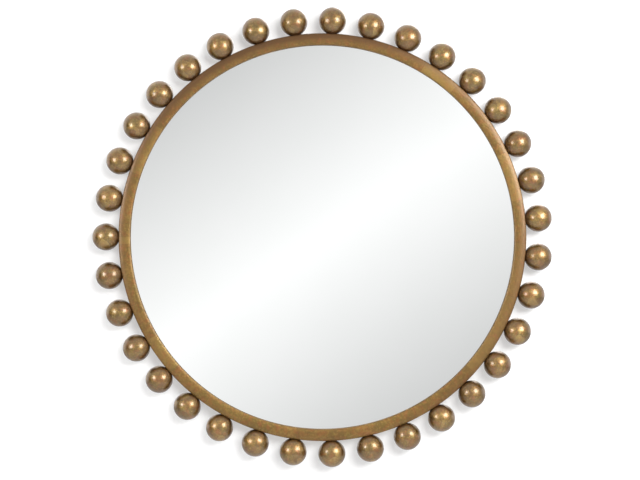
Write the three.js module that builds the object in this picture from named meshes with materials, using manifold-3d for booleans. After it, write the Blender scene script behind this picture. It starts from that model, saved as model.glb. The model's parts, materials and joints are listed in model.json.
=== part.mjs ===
// Round wall mirror: a half-oval steel ring with a band welded behind its edge and hollow balls welded round
// it, a flat glass held by a fibreboard back on welded posts, and two D-rings that swing on straps.
// Millimetres, +Z up. The mirror faces -Y and the wall is on the +Y side. The origin is the centre of the
// back board's rear face, so every depth below is counted forward (negative Y) from there.
import * as THREE from 'three';
import { mergeVertices } from 'three/addons/utils/BufferGeometryUtils.js';
import Module from 'manifold-3d';

const wasm = await Module();
wasm.setup();

// ---- Driving dimensions -------------------------------------------------------------------------------

const CLEARANCE = 0.3; // gap left between two pieces that bear on each other

// Ring: a half-oval bar rolled on edge for the face, and a thinner band behind it, flush with its outside.
const OPENING_RADIUS = 467;
const FACE_WIDTH = 28;
const FACE_THICKNESS = 9.5; // at the top of the crown
const CROWN_HEIGHT = 3.5; // how far the oval rises above the bar's two edges
const BAND_THICKNESS = 2.5;
const BAND_PROJECTION = 6.6; // how far the band stands out behind the back board

// Balls: hollow steel shells, each pressed flat round a vent hole where it is welded on.
const BALL_COUNT = 35;
const FIRST_BALL_ANGLE = 5.06; // degrees above +X, seen from the front
const BALL_RADIUS = 33;
const BALL_WALL = 1.2;
const WELD_FLAT_RADIUS = 10;
const VENT_RADIUS = 2;

// Mirror pack: foam tape, glass and back board, stacked behind the face ring.
const TAPE_THICKNESS = 1.5;
const TAPE_WIDTH = 8;
const GLASS_THICKNESS = 4;
const GLASS_LAP = 10; // how far the glass reaches behind the ring's face
const BOARD_THICKNESS = 9;
const BOARD_EDGE_GAP = 1; // all round, inside the band

// Posts welded in the corner behind the face, and the screws that pull the board down on them.
const POST_COUNT = 6;
const FIRST_POST_ANGLE = 30;
const POST_RADIUS = 5;
const POST_FLOOR = 1.5;
const BOARD_SCREW_RADIUS = 2;
const BOARD_SCREW_HEAD_RADIUS = 4;
const BOARD_SCREW_HEAD_HEIGHT = 2.4;

// Hangers: a strap with a rolled knuckle, screwed to the board, and a wire D-ring that swings in it.
const HANGER_SPACING = 600;
const HANGER_HEIGHT = 240; // hinge axis above the mirror's centre
const WIRE_RADIUS = 1.75;
const RING_HALF_WIDTH = 13.75; // to the middle of the wire
const RING_CORNER_RADIUS = 4;
const RING_SIDE_LENGTH = 1;
const RING_END_GAP = 0.6; // the wire's two ends meet inside the knuckle
const STRAP_THICKNESS = 1.5;
const STRAP_WIDTH = 16;
const STRAP_LENGTH = 56;
const KNUCKLE_WRAP = 280; // degrees of strap rolled round the wire
const STRAP_SCREW_RADIUS = 1.75;
const STRAP_SCREW_HEAD_RADIUS = 3.5;
const STRAP_SCREW_HEAD_HEIGHT = 2.2;
const STRAP_SCREW_BITE = 6.5; // how deep the screw goes into the board
const STRAP_SCREW_RING_GAP = 6; // between the hanging D-ring and the upper screw's head
const STRAP_SCREW_END_MARGIN = 9; // from the lower screw to the end of the strap

// Facet counts.
const RING_FACETS_PER_BALL = 2;
const CROWN_STEPS = 5;
const BALL_FACETS = 10;
const BALL_OUTER_STEPS = 7;
const BALL_INNER_STEPS = 4;
const FASTENER_FACETS = 10;
const WIRE_FACETS = 8;
const WIRE_STEPS = 22;
const KNUCKLE_STEPS = 10;

// ---- Sizes that follow --------------------------------------------------------------------------------

const RING_RADIUS = OPENING_RADIUS + FACE_WIDTH;
const BAND_INNER_RADIUS = RING_RADIUS - BAND_THICKNESS;
const GLASS_RADIUS = OPENING_RADIUS + GLASS_LAP;
const BOARD_RADIUS = BAND_INNER_RADIUS - BOARD_EDGE_GAP;
const WELD_FLAT_DEPTH = Math.sqrt(BALL_RADIUS ** 2 - WELD_FLAT_RADIUS ** 2); // flat to ball centre
const BALL_CIRCLE_RADIUS = RING_RADIUS + CLEARANCE + WELD_FLAT_DEPTH;

const BOARD_FRONT = -BOARD_THICKNESS;
const GLASS_BACK = BOARD_FRONT - CLEARANCE;
const GLASS_FRONT = GLASS_BACK - GLASS_THICKNESS;
const TAPE_BACK = GLASS_FRONT - CLEARANCE;
const TAPE_FRONT = TAPE_BACK - TAPE_THICKNESS;
const FACE_BACK = TAPE_FRONT - CLEARANCE;
const FACE_SHOULDER = FACE_BACK - (FACE_THICKNESS - CROWN_HEIGHT); // where the crown starts
const FACE_FRONT = FACE_BACK - FACE_THICKNESS;
const BAND_FRONT = FACE_BACK + CLEARANCE;
const BALL_DEPTH = FACE_SHOULDER + WELD_FLAT_RADIUS; // the flat starts level with the crown

const POST_CIRCLE_RADIUS = (GLASS_RADIUS + BAND_INNER_RADIUS) / 2;
const POST_FRONT = FACE_BACK + CLEARANCE;
const POST_BACK = BOARD_FRONT - CLEARANCE;
const BOARD_SCREW_END = POST_FRONT + POST_FLOOR + CLEARANCE;

const KNUCKLE_BORE_RADIUS = WIRE_RADIUS + CLEARANCE;
const KNUCKLE_RADIUS = KNUCKLE_BORE_RADIUS + STRAP_THICKNESS;
const STRAP_BACK = CLEARANCE;
const STRAP_FRONT = STRAP_BACK + STRAP_THICKNESS;
const HINGE_DEPTH = STRAP_BACK + KNUCKLE_RADIUS;
const RING_REACH = RING_CORNER_RADIUS + RING_SIDE_LENGTH + RING_HALF_WIDTH + WIRE_RADIUS;
const STRAP_SCREW_DROPS = [ // below the hinge axis
  RING_REACH + STRAP_SCREW_RING_GAP + STRAP_SCREW_HEAD_RADIUS,
  STRAP_LENGTH - STRAP_SCREW_END_MARGIN,
];

const DEGREE = Math.PI / 180;
const RING_FACETS = BALL_COUNT * RING_FACETS_PER_BALL;

// ---- Helpers ------------------------------------------------------------------------------------------

// Revolves [radius, depth] points about the Y axis, anticlockwise with the depth drawn upwards. The profile
// closes on itself or on the axis.
function revolve(points, facets) {
  const profile = points.map(([radius, depth]) => new THREE.Vector2(radius, depth));
  return new THREE.LatheGeometry(profile, facets);
}

// Points on a circular arc about [cx, cy], from one angle to another in degrees, both ends included.
function arc(cx, cy, radius, from, to, steps) {
  return Array.from({ length: steps + 1 }, (_, i) => {
    const angle = (from + ((to - from) * i) / steps) * DEGREE;
    return [cx + radius * Math.cos(angle), cy + radius * Math.sin(angle)];
  });
}

// A point at an angle above +X on a circle about the mirror's axis.
function onCircle(radius, angle, depth) {
  return new THREE.Vector3(radius * Math.cos(angle * DEGREE), depth, radius * Math.sin(angle * DEGREE));
}

function shapeOf(points) {
  return new THREE.Shape(points.map(([x, y]) => new THREE.Vector2(x, y)));
}

function toManifold(geometry) {
  const bare = geometry.clone();
  bare.deleteAttribute('normal');
  bare.deleteAttribute('uv');
  const merged = mergeVertices(bare, 1e-4);
  return new wasm.Manifold(new wasm.Mesh({
    numProp: 3,
    vertProperties: new Float32Array(merged.attributes.position.array),
    triVerts: new Uint32Array(merged.index.array),
  }));
}

function toGeometry(manifold) {
  const mesh = manifold.getMesh();
  const geometry = new THREE.BufferGeometry();
  geometry.setAttribute('position', new THREE.BufferAttribute(new Float32Array(mesh.vertProperties), 3));
  geometry.setIndex(new THREE.BufferAttribute(new Uint32Array(mesh.triVerts), 1));
  geometry.computeVertexNormals();
  return geometry;
}

// Drills round holes along Y: each is { x, z, radius, from, to }.
function drill(geometry, holes) {
  const tools = holes.map(({ x, z, radius, from, to }) => {
    const cutter = new THREE.CylinderGeometry(radius, radius, to - from, FASTENER_FACETS);
    cutter.translate(x, (from + to) / 2, z);
    return toManifold(cutter);
  });
  return tools.reduce((solid, tool) => solid.subtract(tool), toManifold(geometry));
}

const material = (color, roughness, metalness) =>
  new THREE.MeshStandardMaterial({ color, roughness, metalness });

const goldLeaf = material(0x96743f, 0.38, 0.9);
const silvering = material(0xe8ecec, 0.03, 1);
const foam = material(0x17171a, 0.95, 0);
const fibreboard = material(0x8a6a48, 0.85, 0);
const weldedSteel = material(0x4a4038, 0.6, 0.8);
const zincPlate = material(0xb9bcc0, 0.35, 0.95);

const mirror = new THREE.Group();

function place(parent, name, geometry, finish, position = new THREE.Vector3()) {
  const mesh = new THREE.Mesh(geometry, finish);
  mesh.name = name;
  mesh.position.copy(position);
  parent.add(mesh);
  return mesh;
}

const numbered = (name, index) => `${name}_${String(index + 1).padStart(2, '0')}`;

// ---- Ring ---------------------------------------------------------------------------------------------

// The face bar's section: flat behind, square at its two edges, and half an ellipse in front.
function faceSection() {
  const middle = (OPENING_RADIUS + RING_RADIUS) / 2;
  const crown = arc(0, 0, 1, 180, 360, CROWN_STEPS).map(([across, rise]) => [
    middle + (across * FACE_WIDTH) / 2,
    FACE_SHOULDER + rise * CROWN_HEIGHT,
  ]);
  return [[RING_RADIUS, FACE_BACK], [OPENING_RADIUS, FACE_BACK], ...crown, [RING_RADIUS, FACE_BACK]];
}

function hoop(inner, outer, front, back) {
  const corners = [[inner, front], [outer, front], [outer, back], [inner, back], [inner, front]];
  return revolve(corners, RING_FACETS);
}

place(mirror, 'face_ring', revolve(faceSection(), RING_FACETS), goldLeaf);
place(mirror, 'rim_band', hoop(BAND_INNER_RADIUS, RING_RADIUS, BAND_FRONT, BAND_PROJECTION), goldLeaf);

// ---- Balls --------------------------------------------------------------------------------------------

// One shell about its own Y axis, pressed flat round the vent at its lower pole, its wall as thick there.
function ballShell() {
  const inner = BALL_RADIUS - BALL_WALL;
  const insideFlatDepth = WELD_FLAT_DEPTH - BALL_WALL;
  const flatAngle = -Math.asin(WELD_FLAT_DEPTH / BALL_RADIUS) / DEGREE;
  const insideFlatAngle = -Math.asin(insideFlatDepth / inner) / DEGREE;
  return revolve([
    [VENT_RADIUS, -WELD_FLAT_DEPTH],
    ...arc(0, 0, BALL_RADIUS, flatAngle, 90, BALL_OUTER_STEPS),
    ...arc(0, 0, inner, 90, insideFlatAngle, BALL_INNER_STEPS),
    [VENT_RADIUS, -insideFlatDepth],
    [VENT_RADIUS, -WELD_FLAT_DEPTH],
  ], BALL_FACETS);
}

for (let i = 0; i < BALL_COUNT; i++) {
  const arm = new THREE.Group();
  arm.rotation.y = -(FIRST_BALL_ANGLE + (360 * i) / BALL_COUNT) * DEGREE;
  const centre = new THREE.Vector3(BALL_CIRCLE_RADIUS, BALL_DEPTH, 0);
  const ball = place(arm, numbered('ball', i), ballShell(), goldLeaf, centre);
  ball.rotation.z = -90 * DEGREE; // the weld flat turns in, towards the ring
  mirror.add(arm);
}

// ---- Mirror pack --------------------------------------------------------------------------------------

const postAngles = Array.from({ length: POST_COUNT }, (_, i) => FIRST_POST_ANGLE + (360 * i) / POST_COUNT);
const hangerSides = [['left', -1], ['right', 1]];

function disc(radius, front, back) {
  return revolve([[0, front], [radius, front], [radius, back], [0, back]], RING_FACETS);
}

// The board has a clear hole at each post and a pilot hole under each strap screw.
function backBoard() {
  const postHoles = postAngles.map((angle) => {
    const { x, z } = onCircle(POST_CIRCLE_RADIUS, angle, 0);
    const past = CLEARANCE;
    return { x, z, radius: BOARD_SCREW_RADIUS + CLEARANCE, from: BOARD_FRONT - past, to: past };
  });
  const pilotHoles = hangerSides.flatMap(([, side]) => STRAP_SCREW_DROPS.map((drop) => ({
    x: (side * HANGER_SPACING) / 2,
    z: HANGER_HEIGHT - drop,
    radius: STRAP_SCREW_RADIUS + CLEARANCE,
    from: -STRAP_SCREW_BITE - CLEARANCE,
    to: CLEARANCE,
  })));
  return toGeometry(drill(disc(BOARD_RADIUS, BOARD_FRONT, 0), [...postHoles, ...pilotHoles]));
}

// The tape lies just out of sight behind the edge of the opening.
place(mirror, 'foam_tape', hoop(GLASS_RADIUS - TAPE_WIDTH, GLASS_RADIUS, TAPE_FRONT, TAPE_BACK), foam);
place(mirror, 'mirror_glass', disc(GLASS_RADIUS, GLASS_FRONT, GLASS_BACK), silvering);
place(mirror, 'back_board', backBoard(), fibreboard);

// ---- Posts and board screws ---------------------------------------------------------------------------

// A post is a short tube with a floor, open towards the wall to take its screw.
function post() {
  const bore = BOARD_SCREW_RADIUS + CLEARANCE;
  return revolve([
    [0, POST_FRONT],
    [POST_RADIUS, POST_FRONT],
    [POST_RADIUS, POST_BACK],
    [bore, POST_BACK],
    [bore, POST_FRONT + POST_FLOOR],
    [0, POST_FRONT + POST_FLOOR],
  ], FASTENER_FACETS);
}

// A pan-head screw along Y: its tip at `end`, the underside of its head at `seat`.
function panScrew(radius, headRadius, headHeight, seat, end) {
  return revolve([
    [0, end],
    [radius, end],
    [radius, seat],
    [headRadius, seat],
    [headRadius, seat + headHeight / 2],
    [headRadius * 0.7, seat + headHeight],
    [0, seat + headHeight],
  ], FASTENER_FACETS);
}

postAngles.forEach((angle, i) => {
  const at = onCircle(POST_CIRCLE_RADIUS, angle, 0);
  const screw = panScrew(
    BOARD_SCREW_RADIUS, BOARD_SCREW_HEAD_RADIUS, BOARD_SCREW_HEAD_HEIGHT, CLEARANCE, BOARD_SCREW_END,
  );
  place(mirror, numbered('post', i), post(), weldedSteel, at);
  place(mirror, numbered('board_screw', i), screw, zincPlate, at);
});

// ---- Hangers ------------------------------------------------------------------------------------------

// Side view of the strap, [depth, height] about the hinge axis: flat on the board, then rolled up over
// the wire, down the far side and back under it.
function strapSection() {
  const end = 180 - KNUCKLE_WRAP;
  return shapeOf([
    [-KNUCKLE_RADIUS, -STRAP_LENGTH],
    ...arc(0, 0, KNUCKLE_RADIUS, 180, end, KNUCKLE_STEPS),
    ...arc(0, 0, KNUCKLE_BORE_RADIUS, end, 180, KNUCKLE_STEPS),
    [-KNUCKLE_BORE_RADIUS, -STRAP_LENGTH],
  ]);
}

// Front view of the strap: straight sides and a round lower end.
function strapOutline() {
  const half = STRAP_WIDTH / 2;
  return shapeOf([
    [half, 2 * KNUCKLE_RADIUS],
    [-half, 2 * KNUCKLE_RADIUS],
    ...arc(0, half - STRAP_LENGTH, half, 180, 360, KNUCKLE_STEPS),
  ]);
}

// The rolled section at the strap's full width, trimmed to its outline and drilled.
function hangerStrap() {
  const rolled = new THREE.ExtrudeGeometry(strapSection(), { depth: STRAP_WIDTH, bevelEnabled: false });
  rolled.translate(0, 0, -STRAP_WIDTH / 2).rotateX(90 * DEGREE).rotateZ(90 * DEGREE);
  const reach = 4 * KNUCKLE_RADIUS;
  const blank = new THREE.ExtrudeGeometry(strapOutline(), { depth: reach, bevelEnabled: false });
  blank.translate(0, 0, -reach / 2).rotateX(90 * DEGREE);
  const trimmed = toGeometry(toManifold(rolled).intersect(toManifold(blank)));
  return toGeometry(drill(trimmed, STRAP_SCREW_DROPS.map((drop) => ({
    x: 0, z: -drop, radius: STRAP_SCREW_RADIUS + CLEARANCE, from: -reach, to: reach,
  }))));
}

// The wire's centre line, hanging from the hinge axis: a straight bar, tight corners and a round bow.
function ringCentreLine() {
  const shoulder = RING_HALF_WIDTH - RING_CORNER_RADIUS;
  const bowCentre = -RING_CORNER_RADIUS - RING_SIDE_LENGTH;
  const path = new THREE.Path();
  path.moveTo(RING_END_GAP / 2, 0);
  path.lineTo(shoulder, 0);
  path.absarc(shoulder, -RING_CORNER_RADIUS, RING_CORNER_RADIUS, 90 * DEGREE, 0, true);
  path.lineTo(RING_HALF_WIDTH, bowCentre);
  path.absarc(0, bowCentre, RING_HALF_WIDTH, 0, -180 * DEGREE, true);
  path.lineTo(-RING_HALF_WIDTH, -RING_CORNER_RADIUS);
  path.absarc(-shoulder, -RING_CORNER_RADIUS, RING_CORNER_RADIUS, 180 * DEGREE, 90 * DEGREE, true);
  path.lineTo(-RING_END_GAP / 2, 0);
  const points = path.getSpacedPoints(WIRE_STEPS);
  return new THREE.CatmullRomCurve3(points.map(({ x, y }) => new THREE.Vector3(x, 0, y)));
}

function dRing() {
  const section = shapeOf(arc(0, 0, WIRE_RADIUS, 0, 360, WIRE_FACETS).slice(1));
  return new THREE.ExtrudeGeometry(section, { steps: WIRE_STEPS, extrudePath: ringCentreLine() });
}

for (const [name, side] of hangerSides) {
  const hinge = new THREE.Vector3((side * HANGER_SPACING) / 2, HINGE_DEPTH, HANGER_HEIGHT);
  place(mirror, `hanger_strap_${name}`, hangerStrap(), zincPlate, hinge);
  place(mirror, `d_ring_${name}`, dRing(), zincPlate, hinge);
  STRAP_SCREW_DROPS.forEach((drop, i) => {
    const screw = panScrew(
      STRAP_SCREW_RADIUS, STRAP_SCREW_HEAD_RADIUS, STRAP_SCREW_HEAD_HEIGHT,
      STRAP_FRONT + CLEARANCE, -STRAP_SCREW_BITE,
    );
    const at = new THREE.Vector3(hinge.x, 0, HANGER_HEIGHT - drop);
    place(mirror, numbered(`strap_screw_${name}`, i), screw, zincPlate, at);
  });
}

export default mirror;
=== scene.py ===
import json
import math

import bpy
import numpy as np
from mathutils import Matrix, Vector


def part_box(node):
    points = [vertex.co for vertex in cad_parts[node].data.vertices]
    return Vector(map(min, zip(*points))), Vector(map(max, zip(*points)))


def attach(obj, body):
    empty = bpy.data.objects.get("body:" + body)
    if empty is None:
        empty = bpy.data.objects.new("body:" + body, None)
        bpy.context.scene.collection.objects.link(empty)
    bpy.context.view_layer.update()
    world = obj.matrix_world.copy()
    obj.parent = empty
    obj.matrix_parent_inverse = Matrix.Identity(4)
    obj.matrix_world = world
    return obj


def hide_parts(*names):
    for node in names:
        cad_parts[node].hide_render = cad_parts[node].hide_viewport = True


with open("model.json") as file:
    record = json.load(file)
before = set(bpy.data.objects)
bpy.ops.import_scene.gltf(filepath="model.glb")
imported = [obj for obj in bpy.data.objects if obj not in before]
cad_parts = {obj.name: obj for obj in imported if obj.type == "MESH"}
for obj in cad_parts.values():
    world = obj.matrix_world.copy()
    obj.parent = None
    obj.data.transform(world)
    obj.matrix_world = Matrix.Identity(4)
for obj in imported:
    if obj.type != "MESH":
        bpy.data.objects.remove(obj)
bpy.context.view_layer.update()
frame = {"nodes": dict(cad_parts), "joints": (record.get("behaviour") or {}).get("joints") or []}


# ---- Face ring -----------------------------------------------------------------------------------------
# A half-oval steel bar rolled on edge into a hoop, 28 mm wide and 9.5 mm thick at its crown.
# It is base-coated brown, laid with gold leaf sheet by sheet, and rubbed back until the brown shows.

MM = 0.001
BAR_WIDTH = 28 * MM
CROWN_HEIGHT = 3.5 * MM
EDGE_RADIUS = 0.5 * MM
ROLLING_WAVE = 0.06 * MM
ROLLING_WAVE_LENGTHS = (25 * MM, 90 * MM)
SHEETS_PER_RADIAN = 4.6

face_low, face_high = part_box("face_ring")
band_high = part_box("rim_band")[1]
ring_radius = face_high.x
opening_radius = ring_radius - BAR_WIDTH


def make_mesh(name, points, quads, finish, body="mirror"):
    """A smooth piece from an array of points and an array of four corners a face. A face that has the same
    point twice running becomes a triangle. The sign of the volume tells whether the faces point outwards,
    and they are turned round if they don't."""
    corners = points[quads]
    across = np.cross(corners[:, 2] - corners[:, 0], corners[:, 3] - corners[:, 1])
    if np.einsum("ij,ij->", corners.mean(1), across) < 0:
        quads = quads[:, [0, 3, 2, 1]]
    kept = np.ones(quads.shape, bool)
    kept[:, 1] = quads[:, 0] != quads[:, 1]
    kept[:, 2] = quads[:, 1] != quads[:, 2]
    kept[:, 3] = (quads[:, 2] != quads[:, 3]) & (quads[:, 3] != quads[:, 0])
    sides = kept.sum(1)
    mesh = bpy.data.meshes.new(name)
    mesh.vertices.add(len(points))
    mesh.vertices.foreach_set("co", points.astype(np.float32).ravel())
    mesh.loops.add(int(sides.sum()))
    mesh.loops.foreach_set("vertex_index", quads[kept].astype(np.int32))
    mesh.polygons.add(len(quads))
    mesh.polygons.foreach_set("loop_start", np.concatenate(([0], np.cumsum(sides)[:-1])).astype(np.int32))
    mesh.polygons.foreach_set("use_smooth", np.ones(len(quads), bool))
    mesh.update(calc_edges=True)
    mesh.validate()
    mesh.materials.append(finish)
    piece = bpy.data.objects.new(name, mesh)
    bpy.context.scene.collection.objects.link(piece)
    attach(piece, body)
    return piece


def skin(rings, closed=False):
    """Points and faces of a surface through rings of points. rings[i, j] is point j of ring i, and each ring
    closes on itself. A closed skin joins its last ring to its first, and an open one gets a point in the
    middle of each end ring."""
    count, around = rings.shape[:2]
    points = rings.reshape(-1, 3)
    here = np.arange(count if closed else count - 1)[:, None] * around
    there = (here + around) % (count * around)
    along = np.arange(around)
    after = (along + 1) % around
    quads = np.stack([here + along, here + after, there + after, there + along], -1).reshape(-1, 4)
    if closed:
        return points, quads
    start_middle = np.full(around, len(points))
    end_middle = start_middle + 1
    points = np.vstack([points, rings[0].mean(0), rings[-1].mean(0)])
    last_ring = (count - 1) * around
    start = np.stack([after, along, start_middle, start_middle], -1)
    end = np.stack([last_ring + along, last_ring + after, end_middle, end_middle], -1)
    return points, np.vstack([quads, start, end])


def rounded_section(low, high, radius, steps=4):
    """A rectangle's outline in [distance from the axis, depth], from corner low to corner high, with each
    corner a quarter circle of the given radius. Its first half is the two rear corners."""
    low, high = np.array(low), np.array(high)
    turn = np.linspace(0, math.pi / 2, steps + 1)
    corners = []
    for i, (x, y) in enumerate([(1, 1), (0, 1), (0, 0), (1, 0)]):
        centre = np.where([x, y], high - radius, low + radius)
        angle = turn + i * math.pi / 2
        corners.append(centre + radius * np.stack([np.cos(angle), np.sin(angle)], -1))
    return np.vstack(corners)


def unevenness(points, height, lengths, seed, waves=10):
    """Offsets for hand-worked metal: a sum of sine waves that run in random directions, with wavelengths
    spread between the two lengths. The sum has about the given height."""
    chance = np.random.default_rng(seed)
    heading = chance.normal(size=(waves, 3))
    heading /= np.linalg.norm(heading, axis=1, keepdims=True)
    wavelength = chance.uniform(*lengths, waves)
    phase = chance.uniform(0, 2 * math.pi, waves)
    swing = np.sin(points @ (heading / wavelength[:, None]).T * 2 * math.pi + phase)
    return height * swing.sum(-1) / math.sqrt(waves)


def hoop(section, turns):
    """Rings of points: the [distance, depth] section carried round the mirror's axis in even turns."""
    angle = np.linspace(0, 2 * math.pi, turns, endpoint=False)[:, None]
    distance, depth = section[None, :, 0], section[None, :, 1]
    x, z = distance * np.cos(angle), distance * np.sin(angle)
    return np.stack([x, np.broadcast_to(depth, x.shape), z], -1)


class Value:
    """An output in a node tree. Sums and products of values add the Math nodes that work them out."""

    def __init__(self, nodes, socket):
        self.nodes = nodes
        self.socket = socket

    def math(self, operation, *others):
        return self.nodes.node("ShaderNodeMath", {"operation": operation}, (self, *others))

    def __add__(self, other):
        return self.math("ADD", other)

    def __sub__(self, other):
        return self.math("SUBTRACT", other)

    def __mul__(self, other):
        return self.math("MULTIPLY", other)

    def __rsub__(self, other):
        return self.nodes.node("ShaderNodeMath", {"operation": "SUBTRACT"}, (other, self))

    __radd__ = __add__
    __rmul__ = __mul__

    def step(self, low, high):
        """0 below low, 1 above high, and a smooth change between; high may be the smaller."""
        settings = {"interpolation_type": "SMOOTHSTEP", "clamp": True}
        return self.nodes.node("ShaderNodeMapRange", settings, {0: self, 1: low, 2: high})


class Nodes:
    """A node tree and the short ways to add to it."""

    def __init__(self, owner):
        owner.use_nodes = True
        self.tree = owner.node_tree
        self.tree.nodes.clear()

    def node(self, kind, settings=(), inputs=(), output=0):
        """Adds a node, sets its settings, and then sets or links its inputs, by number or name."""
        made = self.tree.nodes.new(kind)
        for key, value in dict(settings).items():
            setattr(made, key, value)
        pairs = inputs.items() if isinstance(inputs, dict) else enumerate(inputs)
        for key, value in pairs:
            if isinstance(value, Value):
                self.tree.links.new(value.socket, made.inputs[key])
            else:
                made.inputs[key].default_value = value
        return Value(self, made.outputs[output]) if made.outputs else None

    def axes(self, vector):
        """A vector's X, Y and Z as three values."""
        split = self.node("ShaderNodeSeparateXYZ", {}, [vector]).socket.node
        return [Value(self, output) for output in split.outputs]

    def stretched(self, place, factors):
        """The place with each axis times its factor: a small factor draws a pattern out along that axis."""
        return self.node("ShaderNodeVectorMath", {"operation": "MULTIPLY"}, [place, factors])

    def noise(self, place, size, detail=2.0, distortion=0.0, output=0):
        """Noise whose lumps are about the given size in metres; it runs from 0 to 1 and averages 0.5."""
        inputs = {"Vector": place, "Scale": 1 / size, "Detail": detail, "Distortion": distortion}
        return self.node("ShaderNodeTexNoise", {}, inputs, output)

    def cells(self, dimensions, **inputs):
        """Uneven cells: a value for each, and the distance to the nearest wall in units of a cell."""
        settings = {"voronoi_dimensions": dimensions}
        tone = self.node("ShaderNodeTexVoronoi", settings, inputs, output="Color")
        gap = self.node("ShaderNodeTexVoronoi", settings | {"feature": "DISTANCE_TO_EDGE"}, inputs)
        return self.node("ShaderNodeSeparateColor", {}, [tone]), gap

    def mix(self, amount, colour_a, colour_b):
        """Colour a where the amount is 0, and colour b where it is 1."""
        inputs = {0: amount, 6: colour_a, 7: colour_b}
        return self.node("ShaderNodeMix", {"data_type": "RGBA"}, inputs, output=2)

    def laid_over(self, colour, *tints):
        """A colour with each pair of an amount and a tint laid over it in turn."""
        for amount, tint in tints:
            colour = self.mix(amount, colour, tint)
        return colour

    def bump(self, height, distance):
        """A normal tilted by a height field; distance is the height in metres where the field is 1."""
        return self.node("ShaderNodeBump", {}, {"Height": height, "Distance": distance, "Strength": 1.0})

    def principled(self, **sockets):
        """The surface: a Principled shader with the named sockets, joined to the material's output."""
        inputs = {}
        for key, value in sockets.items():
            inputs[key.replace("_", " ").title().replace("Ior", "IOR")] = value
        shader = self.node("ShaderNodeBsdfPrincipled", {}, inputs)
        self.node("ShaderNodeOutputMaterial", {}, [shader])


def start_material(name):
    """A new material, its node tree, and the place of a point on its piece in Object coordinates."""
    material = bpy.data.materials.new(name)
    nodes = Nodes(material)
    return material, nodes, nodes.node("ShaderNodeTexCoord", output="Object")


def srgb(red, green, blue):
    """A colour as it shows on a screen, 0 to 255, in the linear numbers that a shader takes."""
    def linear(value):
        value /= 255
        return value / 12.92 if value <= 0.04045 else ((value + 0.055) / 1.055) ** 2.4
    return (linear(red), linear(green), linear(blue), 1.0)


LEAF_GOLD = srgb(145, 111, 46)
LEAF_OLIVE = srgb(126, 102, 36)
LEAF_WARM = srgb(155, 94, 37)
LEAF_PALE = srgb(188, 157, 82)
# Dark leaf, used both for tarnish and for painted shade.
LEAF_TARNISH_AND_SHADE = srgb(97, 64, 22)
DULL_PAINT = srgb(118, 94, 60)
BOLE_RED = srgb(138, 82, 50)
BASE_BROWN = srgb(66, 44, 28)
LACQUER_IOR = 1.7


def gold_leaf(name, roughness, lacquer, lacquer_roughness, sheets, painted, tarnish_and_shade, matt=None):
    """Antiqued leaf under a clear lacquer, whose strength is from 0 to 1. Sheets differ a little in tone and
    part along thin seams, and brown and red show through in patches and specks. sheets(nodes, place) gives a
    value for each sheet and the distance to its nearest seam in metres. painted, tarnish_and_shade and matt
    are
    1 where there is only base coat, where tarnish and painted shade darken the leaf, and where dull paint
    takes the place of both leaf and lacquer."""
    material, nodes, place = start_material(name)
    sheet, seam = sheets(nodes, place)
    clouds = nodes.noise(place, 34 * MM, 3)
    patches = nodes.noise(place, 13 * MM, 4, 0.4)
    mottle = nodes.noise(place, 4.5 * MM, 4)
    specks = nodes.noise(place, 1.6 * MM, 2)
    ripple = nodes.noise(place, 8 * MM, 2)

    # The leaf is darkened here by tarnish and by painted shade.
    darker = (sheet.step(0.6, 1.0) * 0.5).math("MAXIMUM", tarnish_and_shade(nodes, place) * 0.8)
    red = (patches + mottle * 0.6).step(0.93, 1.08)
    worn = (clouds * 0.5 + mottle * 0.8 + specks * 0.3).step(0.99, 1.16)
    pits = specks.step(0.66, 0.76) * 0.6
    parted = seam.step(0.9 * MM, 0.1 * MM) * mottle.step(0.4, 0.55) * 0.55
    bare = worn.math("MAXIMUM", pits).math("MAXIMUM", parted).math("MAXIMUM", painted(nodes, place))
    dull = matt(nodes, place) if matt else 0
    leafed = 1 - dull

    colour = nodes.laid_over(
        nodes.mix(clouds.step(0.38, 0.62), LEAF_OLIVE, LEAF_GOLD),
        (patches.step(0.44, 0.66) * 0.65, LEAF_WARM),
        (mottle.step(0.5, 0.7) * 0.42, LEAF_PALE),
        (mottle.step(0.5, 0.32) * 0.42, LEAF_TARNISH_AND_SHADE),
        (sheet.step(0.35, 0.0) * 0.4, LEAF_PALE),
        (darker, LEAF_TARNISH_AND_SHADE),
        (red * 0.5, BOLE_RED),
        (bare, BASE_BROWN),
        (dull, DULL_PAINT),
    )
    height = ripple * 0.8 + mottle * 0.25 + specks * 0.03 - seam.step(1.2 * MM, 0) * 0.06 - bare * 0.03
    nodes.principled(
        base_color=colour,
        metallic=(1 - bare * 0.65) * leafed,
        roughness=roughness + bare * 0.2 + (mottle - 0.5) * 0.25 + dull * 0.3,
        coat_weight=(1 - bare * 0.5) * leafed * lacquer,
        coat_roughness=lacquer_roughness,
        coat_ior=LACQUER_IOR,
        normal=nodes.bump(height, 1 * MM),
    )
    return material


def from_axis(nodes, place):
    """The distance of a place from the mirror's axis, which is the Y axis."""
    x, _, z = nodes.axes(place)
    return (x * x + z * z).math("SQRT")


def towards(nodes, place, degrees):
    """How far a place lies towards an angle round the ring: 1 at the rim there, and -1 at the far side."""
    turn = math.radians(degrees)
    heading = (math.cos(turn) / ring_radius, 0, math.sin(turn) / ring_radius)
    return nodes.node("ShaderNodeVectorMath", {"operation": "DOT_PRODUCT"}, [place, heading], output="Value")


def ring_sheets(nodes, place):
    """Sheets laid round the ring: the angle is cut into uneven lengths, each with a value of its own."""
    x, _, z = nodes.axes(place)
    angle = z.math("ARCTAN2", x) + nodes.noise(place, 20 * MM) * 0.006
    sheet, gap = nodes.cells("1D", W=angle, Scale=SHEETS_PER_RADIAN)
    return sheet, gap * (ring_radius / SHEETS_PER_RADIAN)


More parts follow.
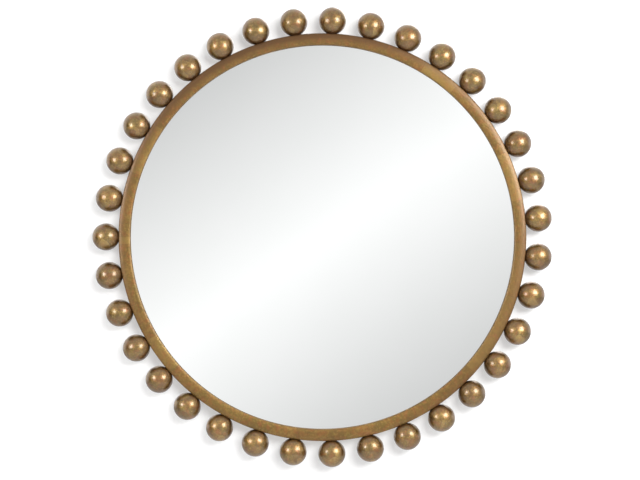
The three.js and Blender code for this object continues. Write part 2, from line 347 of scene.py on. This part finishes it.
def ring_painted(nodes, place):
    """The leaf stops short of the band's back edge, and on the outside the base coat mostly shows."""
    distance = from_axis(nodes, place) + nodes.noise(place, 3 * MM) * (0.6 * MM)
    outside = distance.step(ring_radius, ring_radius + 0.2 * MM) * 0.7
    depth = nodes.axes(place)[1]
    return outside.math("MAXIMUM", depth.step(band_high.y - 5 * MM, band_high.y - 2 * MM))


def ring_matt(nodes, place):
    """The wall of the opening, which leaf can't reach into, has dull paint."""
    return from_axis(nodes, place).step(opening_radius + 0.3 * MM, opening_radius + 0.1 * MM)


def ring_tone_and_shade(nodes, place):
    """The ring is darker over the top, and a little at the lower right. Painted shade also darkens it towards
    its outer edge, all round, most over the top and least at the foot."""
    drift = nodes.noise(place, 90 * MM, 3) * 0.3
    top = (towards(nodes, place, 110) + drift).step(0.65, 1.1) * 0.3
    lower_right = (towards(nodes, place, 335) + drift).step(0.8, 1.15) * 0.45
    # Painted shade towards the outer edge.
    edge_shade = from_axis(nodes, place).step(ring_radius - 26 * MM, ring_radius - 2 * MM)
    return 0.3 + top + lower_right + edge_shade * (0.5 - towards(nodes, place, 285) * 0.45)


ring_leaf = gold_leaf(
    "ring_leaf", roughness=0.54, lacquer=0.55, lacquer_roughness=0.36,
    sheets=ring_sheets, painted=ring_painted, tarnish_and_shade=ring_tone_and_shade, matt=ring_matt,
)
crown_angle = np.linspace(math.pi, 2 * math.pi, 40)
crown = np.stack([
    opening_radius + BAR_WIDTH / 2 * (1 + np.cos(crown_angle)),
    face_low.y + CROWN_HEIGHT * (1 + np.sin(crown_angle)),
], -1)
outline = rounded_section((opening_radius, face_low.y), (ring_radius, face_high.y), EDGE_RADIUS)
rings = hoop(np.vstack([outline[:len(outline) // 2], crown]), turns=1080)
rings[..., 1] += unevenness(rings, ROLLING_WAVE, ROLLING_WAVE_LENGTHS, seed=11)
face_ring = make_mesh("face_ring_leafed", *skin(rings, closed=True), ring_leaf)
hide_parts("face_ring")


# ---- Rim band ------------------------------------------------------------------------------------------
# A strip of 2.5 mm steel rolled the easy way and welded behind the face, flush with its outer edge.
# It has the face's finish, in which the base coat mostly shows on the outside; the back edge keeps the brown
# base coat.

BAND_THICKNESS = 2.5 * MM
WELD_SEAM = 0.12 * MM

band_section = rounded_section(
    (ring_radius - BAND_THICKNESS, face_high.y + WELD_SEAM), (ring_radius, band_high.y), EDGE_RADIUS, steps=3,
)
rings = hoop(band_section, turns=720)
rim_band = make_mesh("rim_band_leafed", *skin(rings, closed=True), ring_leaf)
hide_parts("rim_band")


# ---- Balls ---------------------------------------------------------------------------------------------
# Hollow steel balls of 66 mm, each pressed flat where it is welded to the rim. They are leafed in small torn
# pieces. No ball is quite true: leaf and base coat leave low dents that break up the highlights.

BALL_COUNT = 35
FIRST_BALL_ANGLE = math.radians(5.06)
BALL_RADIUS = 33 * MM
WELD_FLAT_RADIUS = 10 * MM
SEAT_GAP = 0.3 * MM
DENT_HEIGHT = 0.06 * MM
DENT_LENGTHS = (9 * MM, 30 * MM)
FIRST_DENT_SEED = 100
TORN_PIECE = 24 * MM

ball_low, ball_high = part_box("ball_01")
ball_depth = (ball_low.y + ball_high.y) / 2
weld_flat_depth = math.sqrt(BALL_RADIUS**2 - WELD_FLAT_RADIUS**2)
ball_circle_radius = ring_radius + SEAT_GAP + weld_flat_depth


def ball_sheets(nodes, place):
    """Torn pieces of leaf: the space is cut into cells whose walls wander a little."""
    drift = nodes.noise(place, 12 * MM, output="Color")
    wander = 8 * MM
    moved = nodes.node(
        "ShaderNodeVectorMath", {"operation": "MULTIPLY_ADD"}, [drift, (wander, wander, wander), place],
    )
    piece, gap = nodes.cells("3D", Vector=moved, Scale=1 / TORN_PIECE)
    return piece, gap * TORN_PIECE


def ball_painted(nodes, place):
    """Only base coat on the side that faces the wall."""
    edge = nodes.axes(place)[1] + nodes.noise(place, 12 * MM) * (8 * MM)
    return edge.step(ball_depth + 20 * MM, ball_depth + 26 * MM)


def ball_tone_and_shade(nodes, place):
    """The balls have darkened in broad patches, some balls more than others, and they are darker on their
    sides than on their fronts. Painted shade is darkest in the corner between ball and ring."""
    patchy = nodes.noise(place, 20 * MM, 2).step(0.5, 0.7) * 0.4
    by_ball = nodes.noise(place, 110 * MM, 1).step(0.35, 0.7) * 0.35
    sides_darker = nodes.axes(place)[1].step(ball_depth - 32 * MM, ball_depth - 22 * MM) * 0.3
    # Painted shade in the corner between ball and ring.
    corner_shade = from_axis(nodes, place).step(ring_radius + 15 * MM, ring_radius - 2 * MM) * 1.25
    return (patchy + by_ball + sides_darker).math("MAXIMUM", corner_shade)


def ball_rings(steps=64, around=96):
    """A ball about its own centre, its weld flat towards -X: the polar angle runs from the outermost point
    to the edge of the flat, and one more ring lies on the flat just inside that edge to keep it crisp."""
    edge = math.pi - math.asin(WELD_FLAT_RADIUS / BALL_RADIUS)
    polar = np.linspace(0, edge, steps)[1:, None]
    spin = np.linspace(0, 2 * math.pi, around, endpoint=False)[None, :]
    x = BALL_RADIUS * np.cos(polar) + 0 * spin
    y = BALL_RADIUS * np.sin(polar) * np.cos(spin)
    z = BALL_RADIUS * np.sin(polar) * np.sin(spin)
    globe = np.stack([x, y, z], -1)
    inset = globe[-1] * [1, 0.93, 0.93]
    return np.concatenate([globe, inset[None]])


ball_leaf = gold_leaf(
    "ball_leaf", roughness=0.44, lacquer=1.0, lacquer_roughness=0.26,
    sheets=ball_sheets, painted=ball_painted, tarnish_and_shade=ball_tone_and_shade,
)
plain_ball = ball_rings()
for i in range(BALL_COUNT):
    node = f"ball_{i + 1:02d}"
    angle = FIRST_BALL_ANGLE + 2 * math.pi * i / BALL_COUNT
    out = np.array([math.cos(angle), 0, math.sin(angle)])
    along = np.array([-math.sin(angle), 0, math.cos(angle)])
    turned = plain_ball @ np.stack([out, [0, 1, 0], along])
    dent = unevenness(turned, DENT_HEIGHT, DENT_LENGTHS, FIRST_DENT_SEED + i)
    globe = turned * (1 + dent / BALL_RADIUS)[..., None]
    globe += out * ball_circle_radius + [0, ball_depth, 0]
    ball = make_mesh(f"{node}_leafed", *skin(globe), ball_leaf)
    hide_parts(node)


# ---- Mirror glass --------------------------------------------------------------------------------------
# One disc of 4 mm float glass, silvered on its back, which gives a clear and neutral reflection.
# The board presses it forwards against the tape behind the ring.

def finish_node(node, material):
    """Gives a CAD part that is shown as it is a material in place of the one it came with."""
    materials = frame["nodes"][node].data.materials
    materials.clear()
    materials.append(material)


def silvered_glass():
    """Silver behind glass: a faint haze of dust is the only thing that dulls it."""
    material, nodes, place = start_material("silvered_glass")
    haze = nodes.noise(place, 180 * MM, 3)
    nodes.principled(
        base_color=nodes.mix(haze, srgb(246, 248, 247), srgb(250, 251, 251)),
        metallic=1.0,
        roughness=haze.step(0.45, 0.9) * 0.012,
    )
    return material


finish_node("mirror_glass", silvered_glass())


# ---- Foam tape -----------------------------------------------------------------------------------------
# Black closed-cell foam tape, stuck round the back of the ring and pressed thin by the glass.
# It keeps the glass from rattling on the steel.

def foam():
    """Matt black foam with fine open cells."""
    material, nodes, place = start_material("foam")
    cells = nodes.noise(place, 0.8 * MM, 2)
    nodes.principled(
        base_color=nodes.mix(cells, srgb(18, 18, 20), srgb(44, 44, 47)),
        roughness=0.95,
        normal=nodes.bump(cells, 0.3 * MM),
    )
    return material


finish_node("foam_tape", foam())


# ---- Back board ----------------------------------------------------------------------------------------
# A disc of 9 mm medium-density fibreboard, sealed and left bare. It backs the glass and carries the hangers,
# and six screws hold it down on posts behind the face.

def fibreboard():
    """Pressed wood fibre: short pale and dark flecks on a warm tan, with faint sanding bands."""
    material, nodes, place = start_material("fibreboard")
    flecks = nodes.noise(nodes.stretched(place, (0.35, 1, 1)), 1.8 * MM, 3)
    bands = nodes.noise(nodes.stretched(place, (0.05, 1, 1)), 14 * MM, 2)
    clouds = nodes.noise(place, 60 * MM, 4)
    nodes.principled(
        base_color=nodes.laid_over(
            nodes.mix(clouds.step(0.3, 0.7), srgb(166, 132, 94), srgb(180, 147, 108)),
            (bands.step(0.35, 0.65) * 0.35, srgb(150, 118, 82)),
            (flecks.step(0.55, 0.75) * 0.6, srgb(118, 88, 58)),
            (flecks.step(0.42, 0.25) * 0.5, srgb(202, 174, 136)),
        ),
        roughness=0.62 + flecks * 0.2,
        normal=nodes.bump(flecks + bands * 0.3, 0.12 * MM),
    )
    return material


finish_node("back_board", fibreboard())


# ---- Posts ---------------------------------------------------------------------------------------------
# Six short posts turned from steel, welded in the corner between face and band, and tapped to take the
# board screws. They have the brown base coat and no leaf.

POST_COUNT = 6


def coated_steel():
    """Brown base coat over a welded steel turning."""
    material, nodes, place = start_material("coated_steel")
    stain = nodes.noise(place, 3 * MM, 3)
    nodes.principled(
        base_color=nodes.mix(stain, srgb(72, 60, 50), srgb(104, 90, 76)),
        metallic=0.6,
        roughness=0.45 + stain * 0.25,
        normal=nodes.bump(stain, 0.1 * MM),
    )
    return material


steel = coated_steel()
for i in range(POST_COUNT):
    finish_node(f"post_{i + 1:02d}", steel)


# ---- Screws --------------------------------------------------------------------------------------------
# Zinc-plated steel screws with pan heads and a cross recess. Six go through the board into its posts, and
# two hold each hanger strap on the board.

BOARD_SCREW = {"height": 2.4 * MM, "shank_radius": 2.0 * MM}
STRAP_SCREW = {"height": 2.2 * MM, "shank_radius": 1.75 * MM}
DOME_SHARE = 0.55  # of the height of a head, the rest being its side
RECESS_DEPTH = 0.55  # of the height of a head
RECESS_HALF_WIDTH = 0.13  # of the radius of a head, as is the next
RECESS_REACH = 0.58


def zinc_plate():
    """Bright zinc: a bluish grey with cloudy passivation and fine drawn scratches."""
    material, nodes, place = start_material("zinc_plate")
    clouds = nodes.noise(place, 5 * MM, 3)
    scratches = nodes.noise(nodes.stretched(place, (0.1, 1, 1)), 0.7 * MM, 2)
    nodes.principled(
        base_color=nodes.mix(clouds.step(0.35, 0.65), srgb(196, 199, 203), srgb(222, 221, 214)),
        metallic=1.0,
        roughness=0.24 + clouds * 0.18 + scratches * 0.08,
        normal=nodes.bump(scratches, 0.05 * MM),
    )
    return material


def pan_head(centre, seat, tip, radius, turn, height, shank_radius, steps=26, around=72):
    """Rings of points of a screw along Y. The top is a low dome, 1 at the middle and falling as the fourth
    power of the distance, less a cross whose depth follows how far inside its arms a point lies."""
    spin = np.linspace(0, 2 * math.pi, around, endpoint=False)[None, :]
    distance = radius * np.linspace(0.04, 1, steps)[:, None]
    x, z = distance * np.cos(spin), distance * np.sin(spin)
    dome = height * (1 - DOME_SHARE * (distance / radius) ** 4)
    across = np.abs(x * math.cos(turn) + z * math.sin(turn)) / radius
    beside = np.abs(-x * math.sin(turn) + z * math.cos(turn)) / radius
    narrow, wide = np.minimum(across, beside), np.maximum(across, beside)
    inside = np.clip((RECESS_HALF_WIDTH - narrow) / 0.05, 0, 1) * np.clip((RECESS_REACH - wide) / 0.12, 0, 1)
    head = np.stack([x, seat + dome - RECESS_DEPTH * height * inside, z], -1)
    rim = head[-1].copy()
    rim[:, 1] = seat
    neck = rim * [shank_radius / radius, 1, shank_radius / radius]
    foot = neck.copy()
    foot[:, 1] = tip
    return np.concatenate([head, [rim], [neck], [foot]]) + [centre[0], 0, centre[1]]


zinc = zinc_plate()
screws = {f"board_screw_{i + 1:02d}": BOARD_SCREW for i in range(POST_COUNT)}
screws |= {f"strap_screw_{side}_{i:02d}": STRAP_SCREW for side in ("left", "right") for i in (1, 2)}
screw_chance = np.random.default_rng(7)
for node, kind in screws.items():
    low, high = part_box(node)
    screw = pan_head(
        centre=((low.x + high.x) / 2, (low.z + high.z) / 2), seat=high.y - kind["height"], tip=low.y,
        radius=(high.z - low.z) / 2, turn=screw_chance.uniform(0, math.pi), **kind,
    )
    piece = make_mesh(f"{node}_headed", *skin(screw), zinc)
    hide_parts(node)


# ---- Hanger straps and D-rings -------------------------------------------------------------------------
# Each strap is rolled over the straight side of a wire D-ring, and the ring swings in it like a hinge.
# The wire is bent to shape with its two ends meeting inside the strap's knuckle. Both are zinc plated.

WIRE_RADIUS = 1.75 * MM
BOW_RADIUS = 13.75 * MM
CORNER_RADIUS = 4 * MM
SIDE_LENGTH = 1 * MM
END_GAP = 0.6 * MM


def ring_path(spacing=0.5 * MM, corner_points=14, bow_points=46):
    """The D-ring's centre line about its hinge: half the straight side, a quarter turn, a short side, the
    half-round bow, and the same again mirrored. Returns points and their directions in X and Z."""
    shoulder, bow_height = BOW_RADIUS - CORNER_RADIUS, -CORNER_RADIUS - SIDE_LENGTH
    bar = np.arange(END_GAP / 2, shoulder, spacing)
    turn = np.linspace(math.pi / 2, 0, corner_points)
    bow = np.linspace(0, -math.pi / 2, bow_points)
    half = np.vstack([
        np.stack([bar, 0 * bar], -1),
        np.array([shoulder, -CORNER_RADIUS]) + CORNER_RADIUS * np.stack([np.cos(turn), np.sin(turn)], -1),
        np.array([0, bow_height]) + BOW_RADIUS * np.stack([np.cos(bow), np.sin(bow)], -1),
    ])
    path = np.vstack([half, half[-2::-1] * [-1, 1]])
    heading = np.gradient(path, axis=0)
    return path, heading / np.linalg.norm(heading, axis=1, keepdims=True)


def wire_rings(centre, around=20):
    """The wire: a circle carried along the centre line, square to it."""
    path, heading = ring_path()
    spin = np.linspace(0, 2 * math.pi, around, endpoint=False)[None, :, None]
    side = np.stack([-heading[:, 1], 0 * heading[:, 0], heading[:, 0]], -1)[:, None, :]
    middle = np.stack([path[:, 0], 0 * path[:, 0], path[:, 1]], -1)[:, None, :]
    return centre + middle + WIRE_RADIUS * (np.cos(spin) * side + np.sin(spin) * np.array([0, 1, 0]))


for joint in frame["joints"]:
    side = joint["child"].removeprefix("d_ring_")
    wire = make_mesh(f"d_ring_{side}_wire", *skin(wire_rings(np.array(joint["pos_m"]))), zinc, joint["child"])
    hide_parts(joint["child"])
    finish_node(f"hanger_strap_{side}", zinc)


# ---- Wall and floor ------------------------------------------------------------------------------------
# A white wall that the balls' backs touch, which only the camera sees and only from the front, so that
# the back of the mirror stays in view and in the light. The pale floor lies well below.

WALL_HALF = 1.9
WALL_GAP = 0.4 * MM
WALL_FADES = (0.8, 1.4)  # distances from the mirror's centre, as are the floor's
FLOOR_HALF = 7.0
FLOOR_HEIGHT = -1.45
FLOOR_FADES = (2.0, 5.0)


def plane(name, corners, finish):
    """A flat stage panel through four corners in order."""
    mesh = bpy.data.meshes.new(name)
    mesh.from_pydata(corners, [], [(0, 1, 2, 3)])
    mesh.materials.append(finish)
    panel = bpy.data.objects.new(name, mesh)
    bpy.context.scene.collection.objects.link(panel)
    return panel


def grey(level):
    """A neutral colour in linear numbers, where 1 is white."""
    return (level, level, level, 1)


def from_centre(nodes, place):
    """The distance of a place from the mirror's centre."""
    return nodes.node("ShaderNodeVectorMath", {"operation": "LENGTH"}, [place], output="Value")


def wall_paint():
    """A white wall on the front, and nothing on the back. Part of its brightness is its own, as if lit
    through, which keeps the shadows on it light. It fades out well away from the mirror."""
    material, nodes, place = start_material("wall_paint")
    paint = nodes.node("ShaderNodeBsdfDiffuse", {}, {"Color": grey(0.45)})
    glow = nodes.node("ShaderNodeEmission", {}, {"Color": grey(1), "Strength": 0.42})
    front = nodes.node("ShaderNodeAddShader", {}, [paint, glow])
    nothing = nodes.node("ShaderNodeBsdfTransparent")
    behind = nodes.node("ShaderNodeNewGeometry", output="Backfacing")
    gone = behind.math("MAXIMUM", from_centre(nodes, place).step(*WALL_FADES))
    shader = nodes.node("ShaderNodeMixShader", {}, [gone, front, nothing])
    nodes.node("ShaderNodeOutputMaterial", {}, [shader])
    return material


def floor_paint():
    """A pale floor: most of its brightness to the camera is its own, and all of it far from the mirror."""
    material, nodes, place = start_material("floor_paint")
    paint = nodes.node("ShaderNodeBsdfDiffuse", {}, {"Color": grey(0.68)})
    glow = nodes.node("ShaderNodeEmission", {}, {"Color": grey(1), "Strength": 1.0})
    seen = nodes.node("ShaderNodeLightPath", output="Is Camera Ray")
    own = seen * (0.88 + from_centre(nodes, place).step(*FLOOR_FADES) * 0.12)
    shader = nodes.node("ShaderNodeMixShader", {}, [own, paint, glow])
    nodes.node("ShaderNodeOutputMaterial", {}, [shader])
    return material


wall_depth = ball_depth + BALL_RADIUS + WALL_GAP
wall = plane("wall", [
    (-WALL_HALF, wall_depth, FLOOR_HEIGHT), (WALL_HALF, wall_depth, FLOOR_HEIGHT),
    (WALL_HALF, wall_depth, WALL_HALF), (-WALL_HALF, wall_depth, WALL_HALF),
], wall_paint())
wall.visible_diffuse = wall.visible_glossy = wall.visible_transmission = wall.visible_shadow = False
plane("floor", [
    (-FLOOR_HALF, -FLOOR_HALF, FLOOR_HEIGHT), (FLOOR_HALF, -FLOOR_HALF, FLOOR_HEIGHT),
    (FLOOR_HALF, FLOOR_HALF, FLOOR_HEIGHT), (-FLOOR_HALF, FLOOR_HALF, FLOOR_HEIGHT),
], floor_paint())


# ---- Light ---------------------------------------------------------------------------------------------
# Two softboxes make the pair of highlights on each ball, and a broad key light from the upper right throws
# the shadows. What metal and glass reflect is a white studio: one bright diagonal band crosses it, a dark
# flag stands at the left, and the wall behind the mirror is lit.

BAND_ACROSS = (0.57, -0.82)  # the direction, in X and Z, in which the bright band fades
FLAG_TOWARDS = (-0.92, -0.39)  # the direction, in X and Z, in which the dark flag stands
AMBIENT = 0.62


def softbox(name, place, width, glow, shines=True):
    """A square lamp aimed at the mirror's centre. glow is its brightness, where 1 is a white wall. One that
    doesn't shine throws light and shadows but isn't reflected."""
    lamp = bpy.data.lights.new(name, "AREA")
    lamp.shape = "SQUARE"
    lamp.size = width
    lamp.energy = glow * math.pi * width**2
    box = bpy.data.objects.new(name, lamp)
    box.location = place
    box.rotation_euler = box.location.to_track_quat("Z", "Y").to_euler()
    box.visible_camera = False
    box.visible_glossy = shines
    bpy.context.scene.collection.objects.link(box)


softbox("softbox_right", (1.45, -1.65, 0.68), 1.05, glow=12.0)
softbox("softbox_left", (-2.1, -1.95, 0.4), 0.88, glow=11.5)
softbox("key_light", (1.36, -4.0, 1.46), 1.6, glow=21.0, shines=False)
softbox("back_light", (0.9, 2.4, 1.7), 1.4, glow=2.0)

world = bpy.data.worlds.new("studio")
bpy.context.scene.world = world
nodes = Nodes(world)
aim_x, aim_y, aim_z = nodes.axes(nodes.node("ShaderNodeTexCoord", output="Generated"))
off_band = (aim_x * BAND_ACROSS[0] + aim_z * BAND_ACROSS[1]).math("ABSOLUTE")
near_band = 1.09 - off_band * 3.2
far_field = (0.42 + off_band * 1.5).math("MINIMUM", 0.92)
sideways = (aim_y + 0.15).math("ABSOLUTE").step(0.5, 0.0)
behind = aim_y.step(0.35, 0.8) * 0.4
at_left = (aim_x * FLAG_TOWARDS[0] + aim_z * FLAG_TOWARDS[1]).step(0.55, 0.92)
flag = at_left * aim_y.step(0.15, -0.1) * 0.85
lit_wall = aim_y.step(-0.05, 0.3) * 0.5
shade = behind + flag + sideways * (0.22 - aim_z * 0.34)
reflected = near_band.math("MAXIMUM", far_field * (1 - shade + lit_wall))
seen, shiny, through = (
    nodes.node("ShaderNodeLightPath", output=f"Is {ray} Ray") for ray in ("Camera", "Glossy", "Transmission")
)
direct = seen.math("MAXIMUM", through)
level = direct + (1 - direct) * (shiny * reflected + (1 - shiny) * AMBIENT)
sky = nodes.node("ShaderNodeBackground", {}, {"Color": grey(1), "Strength": level})
nodes.node("ShaderNodeOutputWorld", {}, [sky])


# ---- Camera --------------------------------------------------------------------------------------------
# Straight on from 3.6 m. The picture is 640 pixels wide, and the mirror with its balls spans 460 of them,
# with its centre a little right of the picture's and a little above it.

IMAGE_WIDTH = 640
MIRROR_SPAN = 460
MIRROR_CENTRE_OFFSET = (2.46, 2.83)  # pixels right of and above the picture's centre
CAMERA_DISTANCE = 3.6
SENSOR_WIDTH = 36

metres_per_pixel = 2 * (ball_circle_radius + BALL_RADIUS) / MIRROR_SPAN
camera_data = bpy.data.cameras.new("camera")
camera_data.sensor_width = SENSOR_WIDTH
camera_data.lens = SENSOR_WIDTH * CAMERA_DISTANCE / (IMAGE_WIDTH * metres_per_pixel)
camera = bpy.data.objects.new("camera", camera_data)
camera.location = (
    -MIRROR_CENTRE_OFFSET[0] * metres_per_pixel,
    ball_depth - CAMERA_DISTANCE,
    -MIRROR_CENTRE_OFFSET[1] * metres_per_pixel,
)
camera.rotation_euler = (math.pi / 2, 0, 0)
bpy.context.scene.collection.objects.link(camera)
bpy.context.scene.camera = camera
bpy.context.scene.view_settings.view_transform = "Standard"
